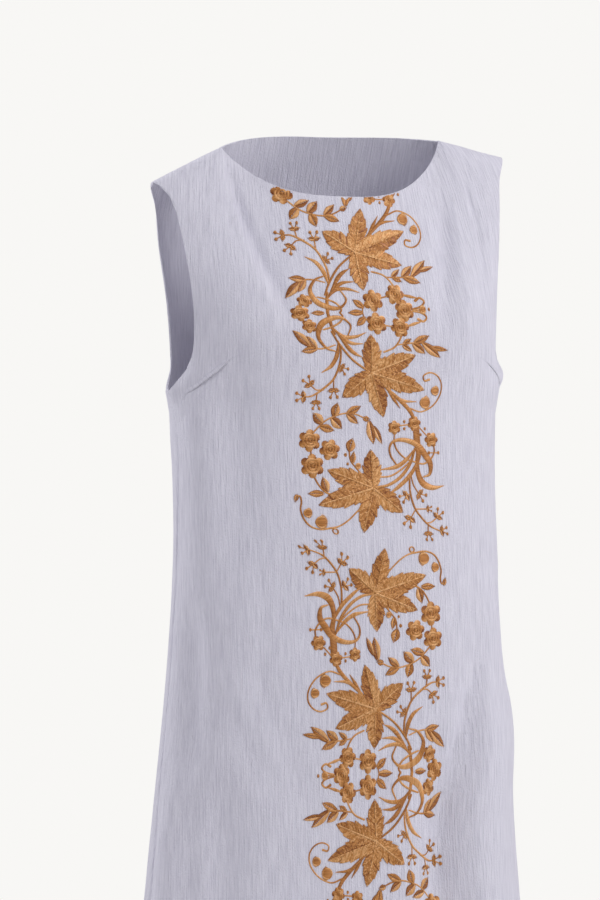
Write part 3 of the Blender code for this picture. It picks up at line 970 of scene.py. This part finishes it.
def risen(height, reach, motif):
    """Height of a stitch that reaches this far: less than the whole on a narrow motif."""
    return height * min(1.0, motif["least"] + reach * motif["gain"])


def split_stitch(start, end, index, lift, height, tone):
    """One long stitch in shorter ones, with dents between them that step from row to row."""
    length = hypot(end[0] - start[0], end[1] - start[1])
    count = max(1, round(length / LEAF["split"]))
    phase = (index % 3) / 3 if count > 1 else 0
    cuts = [0.0] + [(k + phase) / count for k in range(count + 1)] + [1.0]
    cuts = sorted({round(min(max(cut, 0.0), 1.0), 4) for cut in cuts})
    width = LEAF["pitch"] * LEAF["overlap"]
    parts = []
    for a, b in zip(cuts, cuts[1:]):
        if (b - a) * length > LEAF["shortest"]:
            first, last = start + (end - start) * a, start + (end - start) * b
            parts.append(stitch(first, last, width, lift, height, CROWN, tone))
    return parts


def ribbon(lift, half_widths, places, tone=0.0):
    """Satin stitches side by side across a path, over a padding of wide ones."""
    stitches = []
    half_widths = np.atleast_1d(half_widths)
    for pitch, width, height, crown in layers_of(RIBBON["overlaps"]):
        line, where = curve_through(places, pitch)
        along, side = directions_of(line)
        half = SPREAD * np.interp(where, np.linspace(0, 1, len(half_widths)), half_widths)[:, None]
        half = half if crown else half * RIBBON["pad_reach"]
        starts = line + side * half - along * half * RIBBON["slant"]
        ends = line - side * half + along * half * RIBBON["slant"]
        for start, end, reach in zip(starts, ends, half[:, 0]):
            stitches.append(stitch(start, end, width, lift, risen(height, reach, RIBBON), crown, tone))
    return stitches


def slanted_lines(base, tip, width, profile, teeth, half, pitch, closing=False):
    """Lines from the midrib of a lobe to one edge: start, end, reach and the place in a tooth of each one.

    The channel along the midrib is even, or wider and closing towards the tip.
    """
    length = np.linalg.norm(tip - base)
    along = (tip - base) / length
    side = np.array([-along[1], along[0]]) * half
    count = max(3, int(length / pitch))
    lines = []
    for k in range(count + 1):
        place = k / count
        tooth = (place * teeth) % 1 if teeth else 0.5
        smooth_reach = width / 2 * float(read_table(profile, 1, np.array(place)))
        reach = smooth_reach * (1 + LEAF["tooth"] * (tooth - 0.5))
        lead = smooth_reach * LOBE["lead"] / length
        channel = LEAF["channel"] * (1 - place) if closing else LOBE["channel"]
        start = base + along * length * max(0.0, place - lead) + side * min(channel, reach / 2)
        end = base + along * length * place + side * reach
        lines.append((start, end, reach, tooth))
    return lines


def lobe(base, tip, width, profile, teeth=0, index=0, lift=0.0):
    """A pointed lobe: stitches slant from its midrib to its edges, in two halves painted lighter and darker,
    a painted sheen.

    One with teeth is part of a big leaf, whose stitches are split.
    """
    base, tip = np.array(base, float), np.array(tip, float)
    pad_overlap, overlap = LOBE["overlaps"]
    stitches = []
    for half in (-1, 1):
        shape = (base, tip, width, profile, teeth, half)
        # The halves are painted lighter and darker by this tone: a painted sheen
        tone = (LEAF if teeth else LOBE)["tone"] * half
        for start, end, _, _ in slanted_lines(*shape, PAD_PITCH):
            pad_tone = tone - LOBE["pad_shade"]
            stitches.append(stitch(start, end, PAD_PITCH * pad_overlap, lift, PAD_HEIGHT, 0.0, pad_tone))
        if teeth:
            for k, (start, end, _, tooth) in enumerate(slanted_lines(*shape, LEAF["pitch"], closing=True)):
                # Stitches in the veins stand lower and are painted darker by as much: painted shade in the
                # dents
                vein = LEAF["vein_height"] if tooth < LEAF["vein_share"] else 1.0
                stitches += split_stitch(start, end, index + k, lift, SATIN_HEIGHT * vein, tone - (1 - vein))
        else:
            for start, end, reach, _ in slanted_lines(*shape, PITCH):
                full = risen(SATIN_HEIGHT, reach, LOBE)
                stitches.append(stitch(start, end, PITCH * overlap, lift, full, CROWN, tone))
    return stitches


def big_leaf(across, down, side):
    """The leaf's five lobes and the raised ribs along them."""
    stitches = []
    centre = np.array([across, down], float)
    for index, (degrees_up, length) in enumerate(LEAF_LOBES):
        way = np.array([cos(radians(degrees_up)) * side, -sin(radians(degrees_up))])
        lift = LEAF["lift"] * index
        stitches += lobe(centre + way * LEAF["start"], centre + way * length, LEAF["width"], LOBE_PROFILE,
                         LEAF["teeth"], index, lift)
        rib = [centre + way * length * share for share in LEAF_RIB["shares"]]
        stitches += ribbon(LEAF_RIB["lift"] + lift, LEAF_RIB["half_widths"], rib, LEAF_RIB["tone"])
    return stitches


def leaflet(base_across, base_down, tip_across, tip_down, width):
    """A small plain leaf."""
    return lobe((base_across, base_down), (tip_across, tip_down), width * SPREAD, PETAL_PROFILE)


def petals(centre, radius, turn):
    """Domed petals of stitches that fan out from the middle of a blossom."""
    stitches = []
    for pitch, width, height, crown in layers_of(BLOSSOM["overlaps"]):
        count = int(2 * pi * radius * BLOSSOM["even_at"] / pitch)
        for k in range(count):
            angle = 2 * pi * k / count
            petal = ((angle - radians(turn)) / (2 * pi) * BLOSSOM["petals"]) % 1
            swell = sin(pi * petal)
            reach = radius * (1 - BLOSSOM["scallop"] * (1 - swell ** BLOSSOM["scallop_power"]))
            way = np.array([cos(angle), sin(angle)])
            low = BLOSSOM["crease_height"]
            full = height * (low + (1 - low) * swell ** BLOSSOM["dome_power"])
            shade = BLOSSOM["shade"] * cos(pi * petal) - BLOSSOM["crease_shade"] * (1 - swell)
            stitches.append(stitch(centre + way * radius * BLOSSOM["eye"], centre + way * reach, width,
                                   BLOSSOM["lift"], full, crown, shade + BLOSSOM["tone"]))
    return stitches


def blossom(across, down, radius, turn):
    """A round blossom: its petals, two rings of short arcs on them and a knot in the middle."""
    centre = np.array([across, down], float)
    radius = radius * BLOSSOM["spread"]
    stitches = petals(centre, radius, turn)
    count, drift, on_top = BLOSSOM["arcs"], BLOSSOM["arc_drift"], SATIN_HEIGHT * BLOSSOM["arc_lift"]
    for reach, half_width, tone in BLOSSOM["rings"]:
        radii = radius * np.linspace(reach + drift, reach - drift, len(ARC_WIDTHS))
        for k in range(count):
            start = 2 * pi * k / count + reach
            angles = np.linspace(start, start + BLOSSOM["arc_turn"] * pi / count, len(ARC_WIDTHS))
            arc = [centre + r * np.array([cos(a), sin(a)]) for a, r in zip(angles, radii)]
            stitches += ribbon(on_top, radius * half_width * np.array(ARC_WIDTHS), arc, tone)
    return stitches + berry(across, down, max(BLOSSOM["least_knot"], radius * BLOSSOM["knot"]), on_top)


def berry(across, down, radius, lift=0.0):
    """Parallel stitches over a small dome, and a thin ring round its edge if it is large enough."""
    stitches = []
    radius = radius * BERRY["spread"]
    count = max(3, int(2 * radius / PITCH))
    width = 2 * radius / count * BERRY["overlap"]
    for k in range(count):
        offset = (2 * (k + 0.5) / count - 1) * radius
        reach = (radius ** 2 - offset ** 2) ** 0.5
        dome = BERRY["edge_height"] + BERRY["dome_height"] * reach / radius
        lean = offset * BERRY["slant"]
        start = (across - reach, down + offset - lean)
        end = (across + reach, down + offset + lean)
        stitches.append(stitch(start, end, width, lift, dome, CROWN, BERRY["tone"]))
    if radius > BERRY["ringed_from"]:
        half_widths = (RING_END,) + (RING_WIDTH,) * 10 + (RING_END,)
        places = circle(across, down, BERRY["ring"] * radius, np.linspace(*BERRY["ring_angles"], 12))
        stitches += ribbon(lift + BERRY["ring_lift"], half_widths, places, BERRY["ring_tone"])
    return stitches


def ring(across, down, radius):
    """A closed loop of a stem."""
    return ribbon(0.1, RING_WIDTH, circle(across, down, radius, np.linspace(0, 2 * pi, 13)))


def ahead(place, degrees_down, distance):
    """The place this far away in a direction, clockwise from the right."""
    return place + distance * np.array([cos(radians(degrees_down)), sin(radians(degrees_down))])


def sprig(across, down, degrees_down, size):
    """Two leaflets and two buds on thin stalks."""
    stitches = []
    place = np.array([across, down], float)
    for half in (-1, 1):
        tip = ahead(place, degrees_down + SPRIG["leaf_turn"] * half, SPRIG["leaf_length"] * size)
        bud = ahead(place, degrees_down + SPRIG["bud_turn"] * half, SPRIG["bud_distance"] * size)
        stitches += leaflet(*place, *tip, SPRIG["leaf_width"] * size)
        stitches += ribbon(0.0, SPRIG["stalk"], (place, (place + bud) / 2, bud))
        stitches += berry(*bud, SPRIG["bud"] * size, SPRIG["bud_lift"])
    return stitches


def stitches_of(draw, table):
    """The stitches of every row of a table, one after the other."""
    return [row for place in table for row in draw(*place)]


def band_stitches():
    """Every stitch of one repeat by the piece that it belongs to, and those that lie on a mirror line."""
    repeat = {
        "leaves": stitches_of(big_leaf, BIG_LEAVES),
        "blossoms": stitches_of(blossom, BLOSSOMS),
        "stems": stitches_of(ribbon, RIBBONS) + stitches_of(ring, RINGS),
        "leaflets": stitches_of(leaflet, LEAFLETS) + stitches_of(berry, BERRIES) + stitches_of(sprig, SPRIGS),
    }
    mirror = {
        "blossoms": stitches_of(blossom, MIRROR_BLOSSOMS),
        "stems": stitches_of(ribbon, MIRROR_RIBBONS),
        "leaflets": stitches_of(leaflet, MIRROR_LEAFLETS) + stitches_of(berry, MIRROR_BERRIES),
    }
    return repeat, mirror


# The front's surface over the band, on an even lattice. Stitches close to the neck or the hem are left out
LATTICE = {"across": 0.096, "low": -0.912, "high": -0.010, "step": 0.002}
ACROSS_LIMIT = 0.8
FIRST_UP = 0.8
NECK_MARGIN = 1.996
HEM_MARGIN = 0.004

# The pose turns the top of the band a little: it leans to the viewer's left and its right side rises. Lower
# down the folds carry the band to the right, its left edge most, and lengthen it. Each change has its size
# and the two places between which it comes in: heights, or distances from the middle for the edge
BAND_LEAN = (-0.008, -0.21, -0.09)
BAND_TURN = (0.12, -0.19, -0.13)
BAND_DRIFT = (0.0037, -0.375, -0.405)
BAND_EDGE_DRIFT = (0.0085, 0.020, -0.080)
BAND_STRETCH = (0.0100, -0.575, -0.670)


def band_on_front(band_x, band_z):
    """Where the pose and the folds carry places of the flat band, seen from the front."""
    size, start, end = BAND_LEAN
    x = band_x + size * ease(start, end, band_z) + NECK_LEAN * ease(UNDERARM_HEIGHT, NECK_HEIGHT, band_z)
    size, start, end = BAND_EDGE_DRIFT
    edge_drift = size * ease(start, end, band_x)
    size, start, end = BAND_DRIFT
    x = x + (size + edge_drift) * ease(start, end, band_z)
    slope, start, end = BAND_TURN
    z = band_z + band_x * slope * ease(start, end, band_z)
    size, start, end = BAND_STRETCH
    return x, z - size * ease(start, end, band_z)


def surface_lattice():
    """Points, normals and ups of the front under an even lattice of places on the band."""
    across_axis = np.arange(-LATTICE["across"], LATTICE["across"] + LATTICE["step"] / 2, LATTICE["step"])
    height_axis = np.arange(LATTICE["low"], LATTICE["high"], LATTICE["step"])
    band_x, band_z = np.meshgrid(across_axis, height_axis)
    wanted_x, wanted_z = band_on_front(band_x, band_z)
    across, up = np.zeros_like(band_x), np.full_like(band_x, FIRST_UP)
    for _ in range(SEARCH_STEPS):
        found = smooth_panel("front", across, up)
        step = SEARCH_SHARE * ACROSS_PER_METRE * (wanted_x - found[..., 0])
        across = np.clip(across + step, -ACROSS_LIMIT, ACROSS_LIMIT)
        up = search_up(up, wanted_z - found[..., 2])
    points, normals = draped("front", across, up)
    return across_axis, height_axis, points, normals, up


def read_lattice(lattice, band_x, band_z):
    """Surface points, normals and ups at places on the band."""
    across_axis, height_axis, points, normals, ups = lattice
    j = (band_x - across_axis[0]) / LATTICE["step"]
    i = (band_z - height_axis[0]) / LATTICE["step"]
    j0 = np.clip(j.astype(int), 0, len(across_axis) - 2)
    i0 = np.clip(i.astype(int), 0, len(height_axis) - 2)
    s, t = np.clip(j - j0, 0, 1)[..., None], np.clip(i - i0, 0, 1)[..., None]
    point, normal, up = (between(values, i0, j0, s, t) for values in (points, normals, ups[..., None]))
    return point, normal, up[..., 0]


def place_stitches(rows, lattice, repeats, stippled=False):
    """Points of stitches, shape (stitches, stations, 3 round, 3), and the tone of each stitch."""
    rows = np.array(rows)
    start, end = rows[:, 0:2], rows[:, 2:4]
    width, lift, height, crown = (rows[:, column, None] for column in (4, 5, 6, 7))
    way = end - start
    way = way / np.maximum(np.linalg.norm(way, axis=1, keepdims=True), SHORTEST_WAY)
    aside = np.stack([-way[:, 1], way[:, 0]], axis=-1)
    stations = SHORT_STITCH if stippled else LONG_STITCH
    middle = start[:, None] + (end - start)[:, None] * stations[None, :, 0, None]
    spread = aside[:, None] * (width / 2)[..., None] * stations[None, :, 2, None]
    flat = np.stack([middle - spread, middle, middle + spread], axis=2)
    ridge = lift + height * stations[None, :, 1]
    flank = np.maximum(ridge - crown - SUNK * (crown > 0), -SUNK)
    raised = np.stack([flank, ridge, flank], axis=2)
    lean = np.arctan2(way[:, 0], way[:, 1])
    painted_sheen = STIPPLE["painted_sheen"] if stippled else PAINTED_SHEEN
    points, tones = [], []
    for side, lengths, direction in repeats:
        band_x = flat[..., 0] * MM * side
        band_z = FIRST_MIRROR + lengths * REPEAT + direction * flat[..., 1] * MM
        # Painted sheen: each stitch is painted brighter or darker by the way it runs, upright ones brightest
        tone = rows[:, 8] + painted_sheen * np.cos(2 * (lean * side * direction - radians(PAINTED_SHEEN_ANGLE)))
        over_cloth = raised
        if stippled:
            size = STIPPLE["size"] * MM
            spots = smooth_noise(lengths + STIPPLE["seed"], band_x[:, 1, 1] / size, band_z[:, 1, 1] / size)
            tone = tone + STIPPLE["tone"] * spots
            over_cloth = raised + (STIPPLE["height"] * spots)[:, None, None]
        base, normal, up = read_lattice(lattice, band_x, band_z)
        kept = ((up < NECK_MARGIN) & (up > HEM_MARGIN)).all(axis=(1, 2))
        placed = base + normal * (over_cloth * MM)[..., None]
        if side * direction > 0:
            placed = placed[:, :, ::-1]
        points.append(placed[kept])
        tones.append(tone[kept])
    return np.concatenate(points), np.concatenate(tones)


def stitch_mesh(name, points, tones):
    """One mesh of many stitches, with the tone of each as an attribute."""
    count, stations = points.shape[:2]
    first = np.arange(count)[:, None, None] * stations * 3
    station = np.arange(stations - 1)[None, :, None] * 3
    round_it = np.arange(2)[None, None, :]
    corner = (first + station + round_it).ravel()
    quads = np.stack([corner, corner + 1, corner + 4, corner + 3], axis=-1)
    mesh = mesh_from(name, points.reshape(-1, 3), quads, np.zeros((0, 3), int))
    attribute = mesh.attributes.new("tone", "FLOAT", "POINT")
    jitter = np.random.RandomState(len(tones)).uniform(-1, 1, len(tones)) * JITTER
    attribute.data.foreach_set("value", np.repeat(tones + jitter, stations * 3).astype(np.float32))
    mesh.shade_smooth()
    return mesh


def make_band(material):
    """The band's four pieces: big leaves, blossoms, stems, and leaflets with their buds and berries."""
    lattice = surface_lattice()
    repeat, mirror = band_stitches()
    pieces = []
    for name, rows in repeat.items():
        points, tones = place_stitches(rows, lattice, REPEATS, stippled=name == "leaves")
        if name in mirror:
            more_points, more_tones = place_stitches(mirror[name], lattice, MIRROR_REPEATS)
            points, tones = np.concatenate([points, more_points]), np.concatenate([tones, more_tones])
        mesh = stitch_mesh("embroidered_" + name, points, tones)
        pieces.append(add_piece("embroidered_" + name, mesh, material))
    return pieces


# Colours run from dark to bright: on the cloth the darker one is painted shade, in the hollows of its fine
# ribs
CLOTH_AND_RIB_SHADE_COLOURS = ((0.665, 0.650, 0.755, 1.0), (0.80, 0.785, 0.885, 1.0))
CLOTH_COLOUR_ENDS = (0.30, 0.62)
THREAD_COLOURS = ((0.21, 0.048, 0.002, 1.0), (0.59, 0.250, 0.058, 1.0), (0.97, 0.58, 0.27, 1.0))

# Noise along the grain: the fine ribs, whose hollows are also painted darker as painted shade, the slubs and
# the pebbled weave
CLOTH_GRAINS = [
    # across, along, detail, bump strength, bump distance
    (0.0014, 0.032, 2.0, 1.0, 0.0009),
    (0.0030, 0.018, 2.0, 0.80, 0.0009),
    (0.0012, 0.0019, 1.0, 1.0, 0.0006),
]
CLOTH_SURFACE = {
    "Roughness": 0.88, "Specular IOR Level": 0.25, "Sheen Weight": 0.12, "Sheen Roughness": 0.5,
}
STITCH_SURFACE = {"Base Color": (0.79, 0.78, 0.86, 1.0), "Roughness": 0.6}
THREAD_SURFACE = {"Roughness": 0.42, "Metallic": 0.25, "Specular IOR Level": 0.6}
FLOOR_SURFACE = {"Base Color": (0.90, 0.895, 0.89, 1), "Roughness": 0.9}


def set_inputs(node, values):
    """Sets inputs of a node by their names."""
    for name, value in values.items():
        node.inputs[name].default_value = value


def new_material(name, surface):
    """A material with these inputs of its surface, and its nodes, links and surface node."""
    material = bpy.data.materials.new(name)
    material.use_nodes = True
    nodes = material.node_tree.nodes
    shader = nodes["Principled BSDF"]
    set_inputs(shader, surface)
    return material, nodes, material.node_tree.links, shader


def colour_ramp(nodes, colours):
    """A ramp with its colours at even distances."""
    ramp = nodes.new("ShaderNodeValToRGB")
    ramp.color_ramp.elements[0].color = colours[0]
    ramp.color_ramp.elements[1].color = colours[-1]
    for k, colour in enumerate(colours[1:-1], start=1):
        ramp.color_ramp.elements.new(k / (len(colours) - 1)).color = colour
    return ramp


def grain_noise(nodes, links, across, along, detail):
    """Noise stretched along the grain: its size across and along, in metres."""
    place = nodes.new("ShaderNodeUVMap")
    place.uv_map = "grain"
    scale = nodes.new("ShaderNodeMapping")
    noise = nodes.new("ShaderNodeTexNoise")
    set_inputs(scale, {"Scale": (1 / across, 1 / along, 1)})
    set_inputs(noise, {"Scale": 1.0, "Detail": detail})
    links.new(place.outputs["UV"], scale.inputs["Vector"])
    links.new(scale.outputs["Vector"], noise.inputs["Vector"])
    return noise


def add_bump(nodes, links, height, below, strength, distance):
    """A bump on top of another one, or on the plain surface."""
    bump = nodes.new("ShaderNodeBump")
    set_inputs(bump, {"Strength": strength, "Distance": distance})
    links.new(height.outputs["Fac"], bump.inputs["Height"])
    if below:
        links.new(below.outputs["Normal"], bump.inputs["Normal"])
    return bump


def cloth_material():
    """White cotton crepe: long fine ribs along the grain, painted darker in their hollows as painted shade,
    slubs, a pebbled weave, and a soft dry surface.
    """
    material, nodes, links, shader = new_material("cotton_crepe", CLOTH_SURFACE)
    noises = [grain_noise(nodes, links, *row[:3]) for row in CLOTH_GRAINS]
    ramp = colour_ramp(nodes, CLOTH_AND_RIB_SHADE_COLOURS)
    for element, place in zip(ramp.color_ramp.elements, CLOTH_COLOUR_ENDS):
        element.position = place
    # The fine ribs' noise also paints their hollows darker: painted shade
    links.new(noises[0].outputs["Fac"], ramp.inputs["Fac"])
    links.new(ramp.outputs["Color"], shader.inputs["Base Color"])
    bump = None
    for noise, row in zip(noises, CLOTH_GRAINS):
        bump = add_bump(nodes, links, noise, bump, *row[3:])
    links.new(bump.outputs["Normal"], shader.inputs["Normal"])
    return material


def thread_material():
    """Copper-gold rayon thread with a silky gloss: each stitch of its own tone, which also carries painted
    sheen and painted shade.
    """
    material, nodes, links, shader = new_material("rayon_thread", THREAD_SURFACE)
    tone = nodes.new("ShaderNodeAttribute")
    tone.attribute_name = "tone"
    spread = nodes.new("ShaderNodeMapRange")
    set_inputs(spread, {"From Min": -1.0, "From Max": 1.0})
    ramp = colour_ramp(nodes, THREAD_COLOURS)
    links.new(tone.outputs["Fac"], spread.inputs["Value"])
    links.new(spread.outputs["Result"], ramp.inputs["Fac"])
    links.new(ramp.outputs["Color"], shader.inputs["Base Color"])
    return material


# The studio
FLOOR_HEIGHT = -1.38
FLOOR_SIZE = 3.0
BACKDROP_COLOUR = (0.939, 0.931, 0.913, 1)
AMBIENT_COLOUR = (0.95, 0.945, 1.0, 1)
AMBIENT_STRENGTH = 0.34
LIGHTS = [
    # name, place, aimed at, size, power, colour
    ("key", (1.9, -2.3, 1.5), (0, 0, -0.4), 1.2, 49, (1.0, 0.99, 0.975)),
    ("right", (3.0, -0.3, 0.70), (0, 0, -0.40), 1.0, 12, (1.0, 0.99, 0.985)),
    ("left", (-2.7, -0.3, 1.50), (0, 0, -0.18), 1.3, 19, (0.985, 0.985, 1.0)),
    ("front", (-0.4, -2.2, 2.2), (0, 0, -0.10), 1.2, 8, (1.0, 1.0, 1.0)),
    ("back", (-1.6, 2.1, 1.40), (0, 0, -0.35), 1.0, 34, (1.0, 1.0, 1.0)),
]
CAMERA = {"place": (-0.9239, -2.4306, -0.3007), "azimuth": -20, "lens": 101.6, "sensor": 36}


def make_floor():
    """A square floor below the dress."""
    mesh = bpy.data.meshes.new("floor")
    corners = [(x, y, FLOOR_HEIGHT) for x, y in ((-1, -1), (1, -1), (1, 1), (-1, 1))]
    corners = [(x * FLOOR_SIZE, y * FLOOR_SIZE, z) for x, y, z in corners]
    mesh.from_pydata(corners, [], [(0, 1, 2, 3)])
    floor = add_object("floor", mesh)
    mesh.materials.append(new_material("pale_floor", FLOOR_SURFACE)[0])


def make_light(name, place, target, size, power, colour):
    """A round soft light that the camera doesn't see."""
    light = bpy.data.lights.new(name, "AREA")
    light.shape = "DISK"
    light.size = size
    light.energy = power
    light.color = colour
    lamp = add_object(name, light)
    lamp.location = place
    lamp.rotation_euler = (Vector(target) - Vector(place)).to_track_quat("-Z", "Y").to_euler()
    lamp.visible_camera = False


def make_world():
    """A pale backdrop for the camera, and softer light of its own on the dress."""
    world = bpy.data.worlds.new("studio")
    world.use_nodes = True
    nodes, links = world.node_tree.nodes, world.node_tree.links
    ambient = nodes["Background"]
    set_inputs(ambient, {"Color": AMBIENT_COLOUR, "Strength": AMBIENT_STRENGTH})
    backdrop = nodes.new("ShaderNodeBackground")
    set_inputs(backdrop, {"Color": BACKDROP_COLOUR})
    seen = nodes.new("ShaderNodeLightPath")
    either = nodes.new("ShaderNodeMixShader")
    links.new(seen.outputs["Is Camera Ray"], either.inputs["Fac"])
    links.new(ambient.outputs["Background"], either.inputs[1])
    links.new(backdrop.outputs["Background"], either.inputs[2])
    links.new(either.outputs["Shader"], nodes["World Output"].inputs["Surface"])
    bpy.context.scene.world = world


def make_studio():
    make_world()
    make_floor()
    for row in LIGHTS:
        make_light(*row)
    bpy.context.scene.view_settings.view_transform = "Standard"


def make_camera():
    """The camera stands level where the photo was taken from."""
    camera = add_object("camera", bpy.data.cameras.new("camera"))
    camera.location = CAMERA["place"]
    camera.rotation_euler = (radians(90), 0, radians(CAMERA["azimuth"]))
    camera.data.lens = CAMERA["lens"]
    camera.data.sensor_width = CAMERA["sensor"]
    bpy.context.scene.camera = camera


def make_dress():
    """Both panels with all that is sewn to them."""
    cloth = cloth_material()
    white = new_material("white_thread", STITCH_SURFACE)[0]
    front = make_cloth("front", cloth)
    back = make_cloth("back", cloth)
    on_front = make_band(thread_material()) + [make_dart(-1, cloth), make_dart(1, cloth)]
    for side, piece, on_it in (("front", front, on_front), ("back", back, [])):
        hem = make_hem_stitches(side, white)


make_camera()
make_studio()
make_dress()
